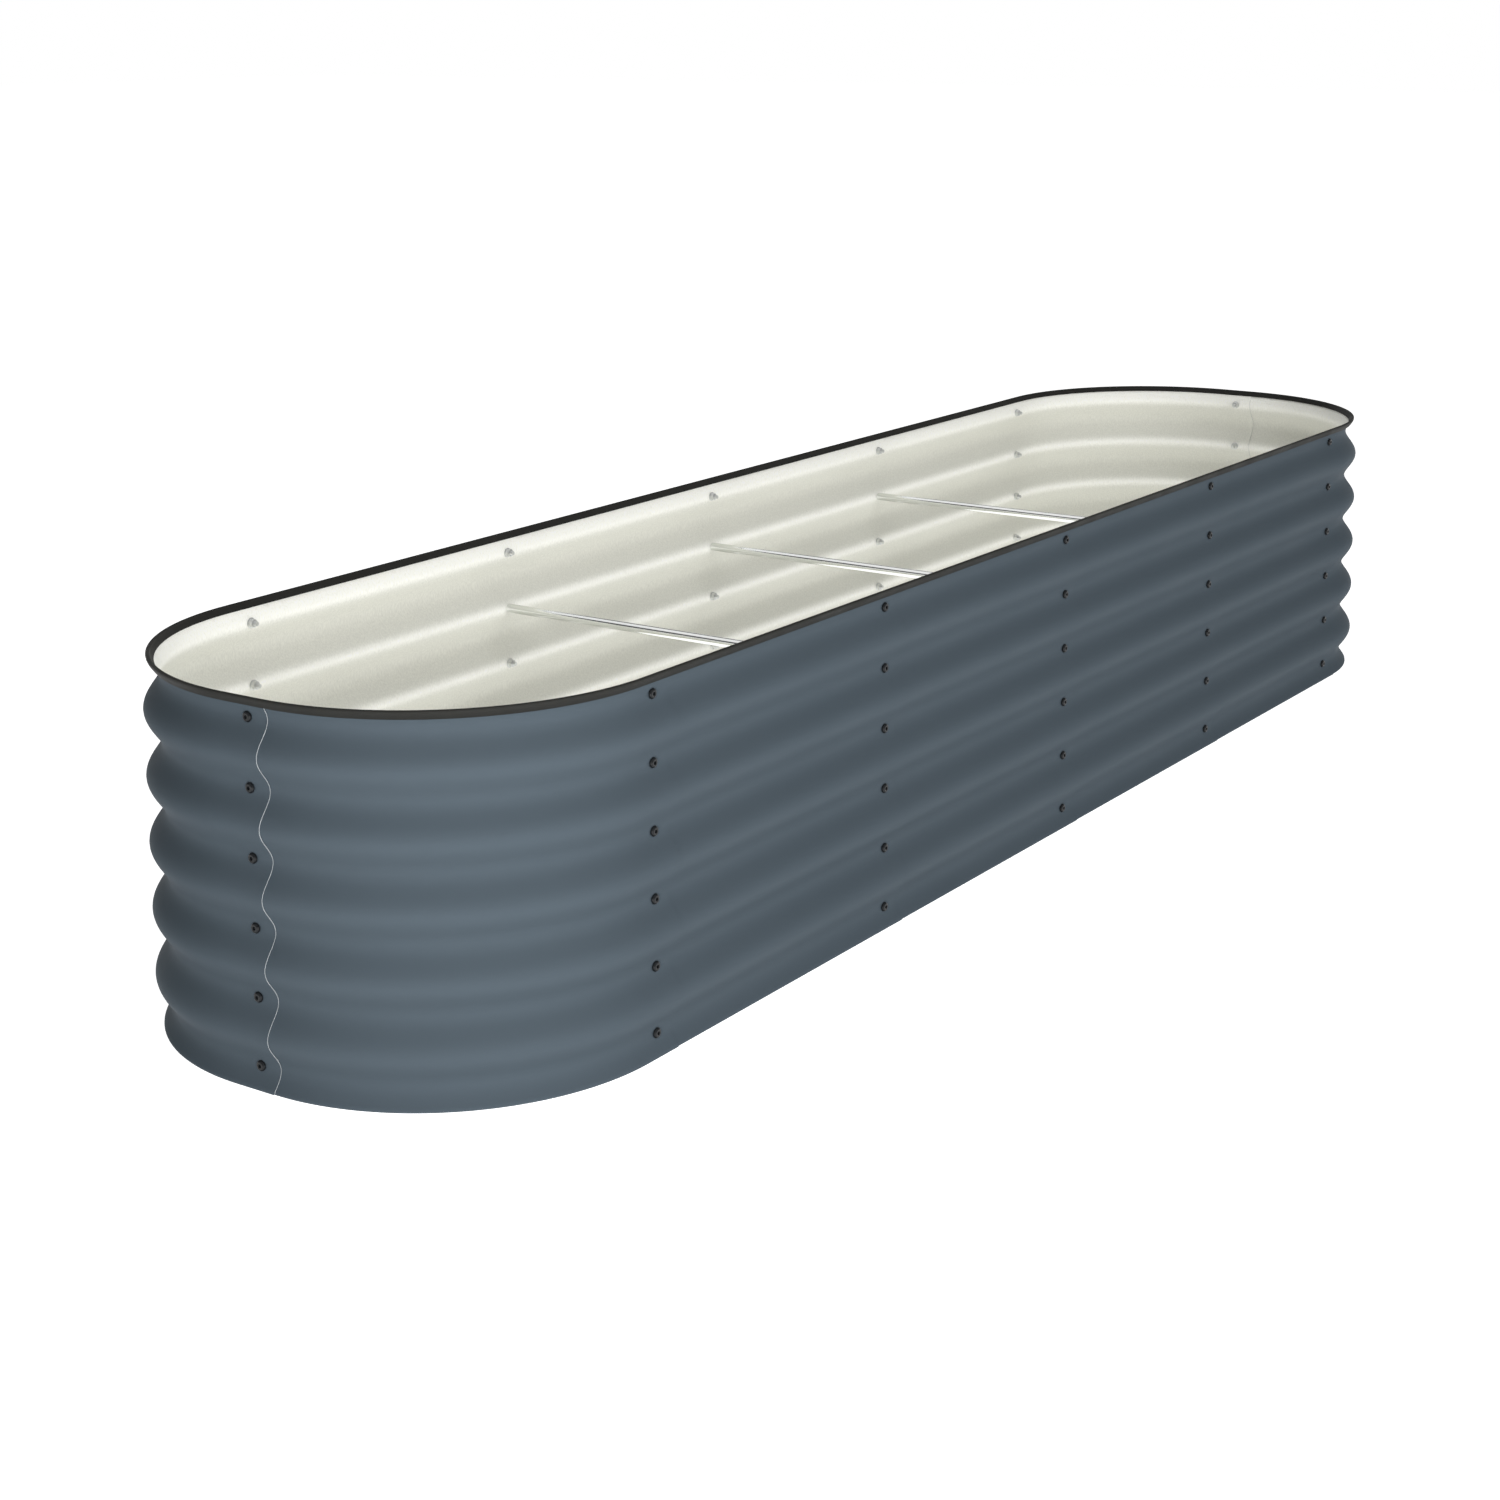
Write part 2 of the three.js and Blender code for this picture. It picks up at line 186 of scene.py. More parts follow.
class RodSettings(PropertyGroup):
    """Sizes of the brace rods."""

    chamfer: length("Chamfer", "Chamfer at the rod's ends", 0.8 * MM)
    bore: length("Bore", "Diameter of the threaded bore in each end", 6.6 * MM)
    bore_depth: length("Bore depth", "Depth of the threaded bore", 19.8 * MM)
    sides: IntProperty(name="Sides", description="Faces round a rod", default=48, min=12)


class FinishSettings(PropertyGroup):
    """Colours of the bed's finishes."""

    outside: colour("Outside", "Slate paint on the outside of the sheets", (69, 78, 85))
    inside: colour("Inside", "Cream coat on the inside of the sheets", (223, 223, 214))
    # Painted highlight: a lighter cream painted along the inside crests and above the top row, standing in
    # for light that falls there
    inside_crest_highlight: colour("Inside crest", "Cream coat where the rollers polished it", (255, 255, 249))
    cut_edge: colour("Cut edge", "Bare zinc-coated steel at the sheets' edges", (176, 180, 182))
    rubber: colour("Rubber", "Rubber of the edge trim", (36, 36, 34))
    bolt: colour("Bolt", "Black coat of the bolts' heads", (20, 22, 24))
    zinc: colour("Zinc", "Zinc plate of the nuts and of the bolts' threads", (172, 173, 170))
    rod: colour("Rod", "Polished steel of the rods", (236, 237, 236))


class StageSettings(PropertyGroup):
    """Light, floor and backdrop."""

    sky: brightness("Sky", "Light from all round, where it is strongest", 0.2)
    key_power: power("Key power", "The low lamp at the left end", 30)
    front_power: power("Front power", "The large lamp in front", 155)
    top_power: power("Top power", "The large lamp overhead", 38)
    floor_bounce: brightness("Floor bounce", "Light from the floor onto the bed, besides its own", 0.78)
    floor_lift: brightness("Floor lift", "White added to the floor where the lens sees it", 0.89)
    floor_size: length("Floor size", "Width of the floor", 60.0)


class BedSettings(PropertyGroup):
    """Everything that can be set on the bed."""

    sheet: PointerProperty(type=SheetSettings)
    fastener: PointerProperty(type=FastenerSettings)
    trim: PointerProperty(type=TrimSettings)
    rod: PointerProperty(type=RodSettings)
    finish: PointerProperty(type=FinishSettings)
    stage: PointerProperty(type=StageSettings)


# Surfaces -------------------------------------------------------------------------------------------------


@dataclass
class Surface:
    """A closed surface. faces holds arrays of corner numbers, each of faces with as many corners. finish
    gives each face's material, and flat each point's place on the sheet before it was formed, in metres,
    for patterns that follow the sheet."""

    points: np.ndarray
    faces: list
    finish: np.ndarray = None
    flat: np.ndarray = None


def grid_quads(rows, columns, close_rows=False, close_columns=False):
    """The quads of a grid of points: (i, j), (i + 1, j), (i + 1, j + 1) and (i, j + 1). In a closed direction
    the last line joins the first."""
    i = np.arange(rows if close_rows else rows - 1)[:, None]
    j = np.arange(columns if close_columns else columns - 1)[None, :]
    here, up = i * columns, (i + 1) % rows * columns
    right = (j + 1) % columns
    return np.stack([here + j, up + j, up + right, here + right], axis=-1).reshape(-1, 4)


def turned(out, radius, closed=False):
    """A surface turned round the out axis, as local (out, forward, up) points.

    out and radius give a profile with the solid on its left, ring by ring, and radius may differ round a
    ring. Point j of n in a ring lies at the angle -2 pi j / n. A closed profile's last ring joins its first,
    and an open one's end rings are filled."""
    rings, sides = radius.shape
    angle = -2 * math.pi * np.arange(sides) / sides
    depth = np.broadcast_to(np.reshape(out, (rings, -1)), (rings, sides))
    points = np.stack([depth, radius * np.cos(angle), radius * np.sin(angle)], axis=-1).reshape(-1, 3)
    faces = [grid_quads(rings, sides, close_rows=closed, close_columns=True)]
    if closed:
        return Surface(points, faces)
    ends = np.array([[depth[0].mean(), 0, 0], [depth[-1].mean(), 0, 0]])
    j = np.arange(sides)
    after = (j + 1) % sides
    last = (rings - 1) * sides
    start_pole, end_pole = np.full((2, sides), [[rings * sides], [rings * sides + 1]])
    faces.append(np.stack([start_pole, j, after], axis=1))
    faces.append(np.stack([last + j, end_pole, last + after], axis=1))
    return Surface(np.concatenate([points, ends]), faces)


def thicken(outer, inner, quads):
    """A closed wall from its two skins, which have the same points and quads.

    The rim joins each open edge of the outer skin, which is an edge whose reverse no quad has, to the same
    edge of the inner one. Finish 0 is the outer skin, 1 the inner one and 2 the rim."""
    count = len(outer)
    starts = quads.ravel()
    ends = np.roll(quads, -1, axis=1).ravel()
    is_open = ~np.isin(starts * count + ends, ends * count + starts)
    a, b = starts[is_open], ends[is_open]
    rim = np.stack([b, a, a + count, b + count], axis=1)
    faces = [quads, quads[:, ::-1] + count, rim]
    finish = np.repeat([0, 1, 2], [len(part) for part in faces])
    return Surface(np.concatenate([outer, inner]), faces, finish)


def hexagon(flats, angle):
    """The radius of a hexagon at an angle from a corner: half its width over flats, divided by the cosine of
    the angle from the nearest flat's middle."""
    sixth = math.pi / 3
    return flats / 2 / np.cos(np.mod(angle, sixth) - sixth / 2)


# Plan and wave --------------------------------------------------------------------------------------------


def bolt_columns():
    """The twelve bolt columns, anticlockwise from the left of the front side, each as (x, y, heading), where
    heading is the way that the panels go round."""
    along = np.linspace(-HALF_SIDE, HALF_SIDE, SIDE_PANELS + 1)
    end = HALF_SIDE + HALF_WIDTH
    front = [(x, -HALF_WIDTH, 0.0) for x in along]
    back = [(x, HALF_WIDTH, math.pi) for x in along[::-1]]
    return [*front, (end, 0.0, QUARTER), *back, (-end, 0.0, -QUARTER)]


COLUMNS = bolt_columns()
PANEL_NODES = [
    *(f"side_panel_front_{number + 1}" for number in range(SIDE_PANELS)),
    "corner_panel_front_right",
    "corner_panel_back_right",
    *(f"side_panel_back_{number + 1}" for number in range(SIDE_PANELS)),
    "corner_panel_back_left",
    "corner_panel_front_left",
]  # in the order of the columns that they start at


def is_side(column):
    """Whether a column is on a long side, and not in the middle of an end."""
    return column[1] != 0


def is_braced(column):
    """Whether a column carries a rod."""
    return is_side(column) and abs(column[0]) < HALF_SIDE


def in_column(column, local):
    """Points in a bolt column's own frame, as (out, forward, up) from the ground under the wall's middle,
    moved into the bed's."""
    x, y, heading = column
    out, forward, up = np.moveaxis(local, -1, 0)
    sine, cosine = math.sin(heading), math.cos(heading)
    return np.stack([x + forward * cosine + out * sine, y + forward * sine - out * cosine, up], axis=-1)


def bend_radius(sheet):
    """The radius of the wall's middle in a bend: half the width, less the flat stretch beside a column."""
    return HALF_WIDTH - sheet.lap - sheet.lap_margin


def wall_line(sheet, along, bent):
    """The wall's middle line at a length from a column, as (out, forward, turn) in the column's frame.

    A straight panel only goes forward. A bent one is straight over its lap, turns left through a quarter
    circle of radius r, and is straight again. Its turn is the length past the lap over r, held between 0 and
    a quarter, and the circle adds r sin(turn) forward and r (1 - cos(turn)) inward."""
    radius = bend_radius(sheet)
    flat = sheet.lap + sheet.lap_margin if bent else math.inf
    turn = np.clip((along - flat) / radius, 0, QUARTER)
    before = np.minimum(along, flat)
    after = np.maximum(along - flat - radius * QUARTER, 0)
    forward = before + radius * np.sin(turn) + after * np.cos(turn)
    inward = radius * (1 - np.cos(turn)) + after * np.sin(turn)
    return -inward, forward, turn


def wall_wave(sheet, height):
    """How far the wall's middle stands out from its valleys at a height, and its slope there.

    Between the end rows it is depth / 2 times (1 - cosine), with a valley at each row, and it runs on past
    them. Over the edge curve's height c the slope then fades evenly: at p past its start the wall stands out
    further by slope * p * (1 - p / 2c), so that the edge is upright."""
    half_rows = (TOP_ROW - BOTTOM_ROW) / 2
    from_middle = height - (TOP_ROW + BOTTOM_ROW) / 2
    side = np.sign(from_middle)
    curve_start = half_rows + BOTTOM_ROW - sheet.edge_curve
    past = np.maximum(np.abs(from_middle) - curve_start, 0)
    rate = 2 * math.pi / WAVE_PITCH
    turn = rate * (height - side * past - BOTTOM_ROW)
    out = sheet.wave_depth / 2 * (1 - np.cos(turn))
    slope = sheet.wave_depth / 2 * rate * np.sin(turn)
    faded = past / sheet.edge_curve
    return out + slope * side * past * (1 - faded / 2), slope * (1 - faded)


def wall_points(sheet, column, bent, along, height, offset):
    """Points on a skin of the wall, at a distance from its middle, square to the wave."""
    line_out, line_forward, turn = wall_line(sheet, along, bent)
    wave_out, slope = wall_wave(sheet, height)
    steep = np.sqrt(1 + slope**2)
    out = wave_out + offset / steep
    up = height - offset * slope / steep
    local = np.stack([line_out + out * np.cos(turn), line_forward + out * np.sin(turn), up], axis=-1)
    return in_column(column, local)


# Panels ---------------------------------------------------------------------------------------------------

EDGE_LEVELS = 4  # heights of the grid in an edge's curve
GRID_DIGITS = 7  # decimals of a metre, at which two lines of the grid are one


def panel_grid(sheet, span, bent):
    """A panel's lines, as lengths from its first column and heights from the ground. They pass through each
    bolt's place and lie half a cell, one cell and two cells from it."""
    cell = WAVE_PITCH / sheet.wave_steps
    flat = sheet.lap + sheet.lap_margin
    near = np.array([-sheet.lap, -2 * cell, -cell, -cell / 2, 0, cell / 2, cell, 2 * cell, flat])
    inner = np.linspace(flat, span - flat, sheet.bend_steps + 1 if bent else SIDE_PANELS + 1)
    along = np.unique(np.concatenate([near, inner, span - near]).round(GRID_DIGITS))
    edge_cells = int((BOTTOM_ROW - sheet.edge_curve) / cell)
    waves = BOTTOM_ROW + cell * np.arange(-edge_cells, (ROWS - 1) * sheet.wave_steps + edge_cells + 1)
    beside = np.add.outer(ROW_HEIGHTS, [-cell / 2, cell / 2]).ravel()
    edge = np.linspace(0, sheet.edge_curve, EDGE_LEVELS)
    height = np.unique(np.concatenate([edge, SHEET_TOP - edge, waves, beside]).round(GRID_DIGITS))
    return along, height, cell


def from_row(height):
    """How far a height is above its nearest row."""
    row = np.clip(np.round((height - BOTTOM_ROW) / WAVE_PITCH), 0, ROWS - 1)
    return height - BOTTOM_ROW - row * WAVE_PITCH


def round_holes(along, height, column_at, cell, radius):
    """Grid points round a column's holes, moved so that each square of cells left out becomes a circle.

    A point's rank is the larger of its two distances from the hole's centre, in cells. At rank 1 it moves
    straight to or from the centre onto the circle, at rank 2 it stays, and between them the two are mixed
    evenly. A distance counts as at least a quarter of a cell, so that a point at the centre stays there."""
    dx, dz = along - column_at, from_row(height)
    rank = np.maximum(np.abs(dx), np.abs(dz)) / cell
    distance = np.maximum(np.hypot(dx, dz), cell / 4)
    stay = np.clip(rank - 1, 0, 1)
    scale = stay + (1 - stay) * radius * rank / distance
    return along + dx * (scale - 1), height + dz * (scale - 1)


def panel_surface(sheet, column, bent, round_the_bed):
    """A corrugated sheet from one column to the next, with its laps and holes.

    Its middle moves steadily from half a sheet and half a gap inside the wall's middle, at its first column,
    to as far outside at its last: shift = step * (2 * along / span - 1). So it passes under one neighbour and
    over the other. Its skins lie half a thickness from that, square to the wave."""
    span = COLUMN_SPACING
    if bent:
        span = 2 * (sheet.lap + sheet.lap_margin) + bend_radius(sheet) * QUARTER
    lines, levels, cell = panel_grid(sheet, span, bent)
    quads = grid_quads(len(lines), len(levels))
    along_cell, level_cell = (lines[1:] + lines[:-1]) / 2, (levels[1:] + levels[:-1]) / 2
    at_column = np.minimum(np.abs(along_cell), np.abs(along_cell - span)) < cell
    at_row = np.abs(from_row(level_cell)) < cell
    quads = quads[~np.outer(at_column, at_row).ravel()]
    used = np.unique(quads)
    quads = np.searchsorted(used, quads)

    along, height = (part.ravel()[used] for part in np.meshgrid(lines, levels, indexing="ij"))
    for column_at in (0, span):
        along, height = round_holes(along, height, column_at, cell, sheet.hole / 2)
    step = (sheet.thickness + LAP_GAP) / 2
    shift = step * (2 * along / span - 1)
    half = sheet.thickness / 2
    outer, inner = (wall_points(sheet, column, bent, along, height, shift + skin) for skin in (half, -half))
    surface = thicken(outer, inner, quads)
    surface.flat = np.tile(np.stack([round_the_bed + along, height], axis=-1), (2, 1))
    return surface


# Trim -----------------------------------------------------------------------------------------------------

LEG_FACES = 8  # up a leg of the channel
CORNER_FACES = 6  # round a top corner
TIP_FACES = 4  # round the end of a leg


def trim_stations(sheet, steps):
    """Where the channel's section stands, as (x, y, out x, out y) rows, from its joint on the back side round
    the bed and back. Each bend is a quarter circle, and no row stands between the bends, where the channel
    is straight."""
    radius = bend_radius(sheet)
    centre = HALF_SIDE + sheet.lap + sheet.lap_margin
    turn = np.linspace(0, QUARTER, steps + 1)
    rows = [(TRIM_JOINT_X - TRIM_JOINT_GAP / 2, HALF_WIDTH, 0, 1)]
    for quarter in range(4):
        angle = turn + QUARTER * (quarter + 1)
        side_x = -1 if quarter in (0, 1) else 1
        flat_y = HALF_WIDTH - radius
        side_y = 1 if quarter in (0, 3) else -1
        out_x, out_y = np.cos(angle), np.sin(angle)
        x = side_x * centre + radius * out_x
        y = side_y * flat_y + radius * out_y
        rows.extend(np.stack([x, y, out_x, out_y], axis=1))
    rows.append((TRIM_JOINT_X + TRIM_JOINT_GAP / 2, HALF_WIDTH, 0, 1))
    return np.array(rows)


def trim_middle_line(sheet, trim):
    """The middle of the channel's rubber in section, as (out, height) points, up the outer leg, over the top
    and down the inner leg, and the way out of the channel at each. The legs follow the wave at a steady
    distance, and the corners are quarter circles."""
    half = (trim.slot + trim.wall) / 2
    shoulder = TRIM_TOP - trim.wall / 2 - trim.corner
    height = np.linspace(TRIM_TOP - TRIM_HEIGHT + trim.wall / 2, shoulder, LEG_FACES + 1)
    wave_out, slope = wall_wave(sheet, height)
    steep = np.sqrt(1 + slope**2)
    way = np.stack([1 / steep, -slope / steep], axis=1)
    wall = np.stack([wave_out, height], axis=1)
    top_out = wall_wave(sheet, np.array([SHEET_TOP]))[0][0]
    angle = np.linspace(0, QUARTER, CORNER_FACES + 1)[1:]
    corner_way = np.stack([np.cos(angle), np.sin(angle)], axis=1)
    corner = np.array([top_out + half - trim.corner, shoulder]) + trim.corner * corner_way
    mirrored = corner * [-1, 1] + [2 * top_out, 0]
    line = np.concatenate([wall + half * way, corner, mirrored[::-1], (wall - half * way)[::-1]])
    ways = np.concatenate([way, corner_way, corner_way[::-1] * [-1, 1], -way[::-1]])
    return line, ways


def trim_surface(sheet, trim):
    """The channel: its section is a band round the middle line, half a wall to each side, with a half circle
    at the end of each leg. The section is carried round the bed, and its two ends are closed."""
    line, way = trim_middle_line(sheet, trim)
    count = len(line)
    angle = np.linspace(0, math.pi, TIP_FACES + 1)[1:-1, None]
    half = trim.wall / 2
    onward = np.array([[-way[-1, 1], way[-1, 0]], [way[0, 1], -way[0, 0]]])
    last_end = line[-1] + half * (np.cos(angle) * way[-1] + np.sin(angle) * onward[0])
    first_end = line[0] + half * (-np.cos(angle) * way[0] + np.sin(angle) * onward[1])
    section = np.concatenate([line + half * way, last_end, (line - half * way)[::-1], first_end])
    stations = trim_stations(sheet, trim.bend_steps)
    place, out = stations[:, None, :2], stations[:, None, 2:]
    level = np.broadcast_to(section[None, :, 1:], (len(stations), len(section), 1))
    points = np.concatenate([place + out * section[None, :, :1], level], axis=2)
    quads = grid_quads(len(stations), len(section), close_columns=True)

    band = np.arange(count - 1)
    slot_side = 2 * count + len(last_end) - 1
    cap = np.stack([band, band + 1, slot_side - band - 1, slot_side - band], axis=1)
    last_leg = np.arange(count - 1, count + len(last_end) + 1)[None, :]
    first_leg = np.append(np.arange(slot_side, len(section)), 0)[None, :]
    start = [cap, last_leg, first_leg]
    end = [part[:, ::-1] + (len(stations) - 1) * len(section) for part in start]
    return Surface(points.reshape(-1, 3), [quads, *start, *end])


# Fasteners and rods ---------------------------------------------------------------------------------------

THREAD_RINGS = 4  # in one pitch
THREAD_START = 0.6  # pitches from the bolt's end to the thread's first ring
THREAD_STOP = 0.25  # pitches from the thread's last ring to the head
HEAD_CORNER = 0.25 * MM  # radius of the rounded corners of the head's rim
CORNER_MIDDLE = 0.3  # how far in the middle of a rounded corner lies, in its radii
DOME_RINGS = 7
MOUTH_WIDTH = 1.2  # of the socket's round mouth, over the socket's flats
MOUTH_MARGIN = 0.12 * MM  # added to the mouth's radius
MOUTH_DEPTH = 0.1 * MM  # of the mouth below the head's top
HEXAGON_DEPTH = 0.35 * MM  # of the hexagon's top below the head's
DRILL_DEPTH = 0.3 * MM  # of the drilled point under the hexagon
DRILL_WIDTH = 0.25  # of the point's end, over the hexagon

NUT_BORE_GAP = 0.12 * MM  # round the thread
NUT_LEAD_IN = 0.5 * MM  # height and width of the chamfer at each end of the bore
NUT_CHAMFER = 0.8 * MM  # height over which the hexagon's corners are turned off
NUT_CHAMFER_RINGS = 5
NUT_CHAMFER_RISE = math.sqrt(3)  # of the cone's radius, over its height
NUT_FACE = 0.93  # width of the nut's free end, over its flats
FILLET_HEIGHT = 0.5 * MM  # of the fillet between the flats and the flange
FILLET_WIDTH = 0.25 * MM
SLOPE_DROP = 0.35 * MM  # from the top of the flange to the middle of its slope
SLOPE_WIDTH = 0.8 * MM  # from there to its rim
FLANGE_RIM = 0.75 * MM  # from the wall to the top of the flange's upright rim
FLANGE_FOOT = 0.2 * MM  # from the wall to the foot of the rim
FOOT_WIDTH = 0.25 * MM  # of the chamfer there

ROD_LEAD_IN = 0.4 * MM  # height and width of the chamfer at the bore's mouth
ROD_DRILL_LENGTH = 0.5  # of the cone at the bore's blind end, in its radii
ROD_DRILL_WIDTH = 0.2  # of the cone's end, over the bore
ROD_SHOULDER = 3  # chamfers from the rod's end to its first ring of full width


def ring_angles(sides, turn):
    """The angle of each point of a ring from the fastener's first corner."""
    return 2 * math.pi * np.arange(sides) / sides + turn


def bolt_profile(fastener, shank, turn):
    """A button-head socket bolt along its axis, with the head's underside at 0, as rings of radii.

    The thread is a wave that climbs one pitch in a turn: radius = mean + depth / 2 * cos(2 pi (out / pitch -
    angle / 2 pi)), and it fades over one pitch at each end. The head is an upright rim with rounded corners,
    then a dome that falls with the square of the distance from its flat. The socket is a hexagon under a
    short round mouth."""
    angle = ring_angles(fastener.sides, turn)
    pitch, depth = fastener.thread_pitch, fastener.thread_depth
    crest = fastener.thread / 2
    start, stop = THREAD_START * pitch - shank, -THREAD_STOP * pitch
    thread_out = np.linspace(start, stop, int(THREAD_RINGS * shank / pitch))[:, None]
    phase = 2 * math.pi * thread_out / pitch - angle[None, :]
    fade = np.clip(np.minimum(thread_out + shank, -thread_out) / pitch, 0, 1)
    thread = crest - depth * (1 - fade * (1 + np.cos(phase)) / 2)

    rim, flat, top = fastener.head / 2, fastener.head_flat / 2, fastener.head_height
    middle = CORNER_MIDDLE * HEAD_CORNER
    dome_radius = np.linspace(rim - middle, flat, DOME_RINGS)
    dome_out = top - (top - fastener.head_rim) * ((dome_radius - flat) / (rim - flat)) ** 2
    round_rings = [
        (-shank, crest - depth),
        (0, crest - depth),
        (0, rim - HEAD_CORNER),
        (middle, rim - middle),
        (HEAD_CORNER, rim),
        (fastener.head_rim - middle, rim),
        *zip(dome_out, dome_radius),
        (top - MOUTH_DEPTH, fastener.socket / 2 * MOUTH_WIDTH + MOUTH_MARGIN),
    ]
    outs, radii = (np.array(part)[:, None] for part in zip(*round_rings))
    rings = radii * np.ones(fastener.sides)
    outs = np.concatenate([outs[:1], thread_out, outs[1:]])
    rings = np.concatenate([rings[:1], thread, rings[1:]])
    socket = hexagon(fastener.socket, angle)[None, :]
    floor = top - fastener.socket_depth
    socket_out = np.array([[top - HEXAGON_DEPTH], [floor], [floor - DRILL_DEPTH]])
    socket_radius = np.concatenate([socket, socket, DRILL_WIDTH * socket])
    return np.concatenate([outs, socket_out]), np.concatenate([rings, socket_radius])


def nut_profile(fastener, turn):
    """A flange nut along its axis, bearing on the wall at 0 and standing inward, as a closed profile of
    rings.

    The hexagon's corners are turned off towards the free end: a ring's radius is the smaller of the hexagon
    and a cone. The flange slopes from its rim up to the flats, and a lead-in opens each end of the bore."""
    angle = ring_angles(fastener.sides, turn)
    flats = hexagon(fastener.nut, angle)
    height, rim = fastener.nut_height, fastener.flange / 2
    flange_top = -fastener.flange_height
    bore = fastener.thread / 2 + NUT_BORE_GAP
    lead_in = bore + NUT_LEAD_IN
    chamfer = np.linspace(0, NUT_CHAMFER, NUT_CHAMFER_RINGS)[:, None]
    cone = fastener.nut / 2 * NUT_FACE + chamfer * NUT_CHAMFER_RISE
    rings = [
        (flange_top - FILLET_HEIGHT, flats),
        (flange_top, np.maximum(flats, fastener.nut / 2 + FILLET_WIDTH)),
        (flange_top + SLOPE_DROP, np.maximum(flats, rim - SLOPE_WIDTH)),
        (-FLANGE_RIM, rim),
        (-FLANGE_FOOT, rim),
        (0, rim - FOOT_WIDTH),
        (0, lead_in),
        (-NUT_LEAD_IN, bore),
        (NUT_LEAD_IN - height, bore),
        (-height, lead_in),
    ]
    outs = np.array([[out] for out, _ in rings])
    radii = np.stack([radius * np.ones(fastener.sides) for _, radius in rings])
    return np.concatenate([chamfer - height, outs]), np.concatenate([np.minimum(flats, cone), radii])


def rod_profile(rod):
    """A round rod along its axis, from one end to the other, with a chamfer and a blind bore at each end."""
    radius, bore = ROD_DIAMETER / 2, rod.bore / 2
    deep = ROD_END - rod.bore_depth
    half = [
        (deep, ROD_DRILL_WIDTH * bore),
        (deep + ROD_DRILL_LENGTH * bore, bore),
        (ROD_END - ROD_LEAD_IN, bore),
        (ROD_END, bore + ROD_LEAD_IN),
        (ROD_END, radius - rod.chamfer),
        (ROD_END - rod.chamfer, radius),
        (ROD_END - ROD_SHOULDER * rod.chamfer, radius),
    ]
    rings = [(-out, r) for out, r in half] + half[::-1]
    outs, radii = (np.array(part)[:, None] for part in zip(*rings))
    return outs, radii * np.ones(rod.sides)


# Materials ------------------------------------------------------------------------------------------------

# The sockets of a Mix node that mixes colours
MIX_SHARE, MIX_FIRST, MIX_SECOND, MIX_RESULT = 0, 6, 7, 2


def add(tree, kind, inputs=None, **settings):
    """One shader node. Each input is a value or another node's output, and the rest are its settings."""
    node = tree.nodes.new(kind)
    for name, value in settings.items():
        setattr(node, name, value)
    for socket, value in (inputs or {}).items():
        if isinstance(value, bpy.types.NodeSocket):
            tree.links.new(value, node.inputs[socket])
        else:
            node.inputs[socket].default_value = value
    return node


def calculate(tree, operation, *values):
    """The result of one Math node."""
    return add(tree, "ShaderNodeMath", dict(enumerate(values)), operation=operation).outputs[0]


def new_group(name, inputs, outputs):
    """An empty node group with its sockets, given as {name: (kind, default)} and {name: kind}, and its two
    ends."""
    group = bpy.data.node_groups.new(name, "ShaderNodeTree")
    for socket, (kind, default) in inputs.items():
        made = group.interface.new_socket(socket, in_out="INPUT", socket_type=kind)
        if default is not None:
            made.default_value = default
    for socket, kind in outputs.items():
        group.interface.new_socket(socket, in_out="OUTPUT", socket_type=kind)
    return group, add(group, "NodeGroupInput").outputs, add(group, "NodeGroupOutput").inputs


def mottle_group():
    """Fine spots, longer one way than the others: a noise read at the place divided by the spots' size. It
    lightens and darkens a colour by half the strength, and gives the spots' height from 0 to 1."""
    name = "Mottle"
    if name in bpy.data.node_groups:
        return bpy.data.node_groups[name]
    group, given, result = new_group(
        name,
        {
            "Place": ("NodeSocketVector", None),
            "Spot Size": ("NodeSocketVector", (2 * MM, 2 * MM, 2 * MM)),
            "Color": ("NodeSocketColor", (0.8, 0.8, 0.8, 1)),
            "Strength": ("NodeSocketFloat", 0.05),
        },
        {"Color": "NodeSocketColor", "Height": "NodeSocketFloat"},
    )
    place = {0: given["Place"], 1: given["Spot Size"]}
    scaled = add(group, "ShaderNodeVectorMath", place, operation="DIVIDE").outputs[0]
    noise = add(group, "ShaderNodeTexNoise", {"Vector": scaled, "Scale": 1.0, "Detail": 3.0}).outputs[0]
    centred = calculate(group, "SUBTRACT", noise, 0.5)
    change = calculate(group, "MULTIPLY_ADD", centred, given["Strength"], 1.0)
    tinted = add(group, "ShaderNodeVectorMath", {0: given["Color"], "Scale": change}, operation="SCALE")
    group.links.new(tinted.outputs[0], result["Color"])
    group.links.new(noise, result["Height"])
    return group


def patches_group():
    """Broad soft patches: a slow noise that moves a value from a low one to a high one, for uneven gloss."""
    name = "Patches"
    if name in bpy.data.node_groups:
        return bpy.data.node_groups[name]
    group, given, result = new_group(
        name,
        {
            "Place": ("NodeSocketVector", None),
            "Patch Size": ("NodeSocketFloat", 100 * MM),
            "Low": ("NodeSocketFloat", 0.4),
            "High": ("NodeSocketFloat", 0.5),
        },
        {"Value": "NodeSocketFloat"},
    )
    scale = calculate(group, "DIVIDE", 1.0, given["Patch Size"])
    noise = add(group, "ShaderNodeTexNoise", {"Vector": given["Place"], "Scale": scale, "Detail": 2.0})
    spread = add(
        group,
        "ShaderNodeMapRange",
        {
            "Value": noise.outputs[0],
            "From Min": 0.3,
            "From Max": 0.7,
            "To Min": given["Low"],
            "To Max": given["High"],
        },
    )
    group.links.new(spread.outputs[0], result["Value"])
    return group


